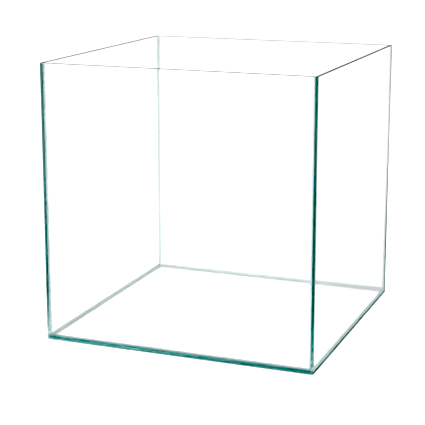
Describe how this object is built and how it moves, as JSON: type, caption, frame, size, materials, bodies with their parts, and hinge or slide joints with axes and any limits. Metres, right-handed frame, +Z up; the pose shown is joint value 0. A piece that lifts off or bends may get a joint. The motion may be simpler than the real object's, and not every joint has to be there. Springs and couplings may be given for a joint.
{
  "type": "glass aquarium tank",
  "caption": "Rimless open-topped cube aquarium of clear glass panes joined with clear silicone, base pane set inside the walls.",
  "frame": {"origin": "middle of the underside, on the surface the tank stands on", "axes": "+Z up through the open top, -Y out of the front pane, +X out of the right pane"},
  "size_m": [0.4, 0.4, 0.4],
  "materials": {
    "glass": "clear float glass, polished faces, ground bevels, green at the edges",
    "silicone": "clear silicone sealant, smooth"
  },
  "bodies": {
    "root": {"base_pane": "glass", "front_pane": "glass", "rear_pane": "glass", "left_pane": "glass", "right_pane": "glass", "front_left_bond": "silicone", "front_right_bond": "silicone", "rear_left_bond": "silicone", "rear_right_bond": "silicone", "base_front_bond": "silicone", "base_rear_bond": "silicone", "base_left_bond": "silicone", "base_right_bond": "silicone", "front_left_seal": "silicone", "front_right_seal": "silicone", "rear_left_seal": "silicone", "rear_right_seal": "silicone", "base_front_seal": "silicone", "base_rear_seal": "silicone", "base_left_seal": "silicone", "base_right_seal": "silicone"}
  },
  "joints": []
}
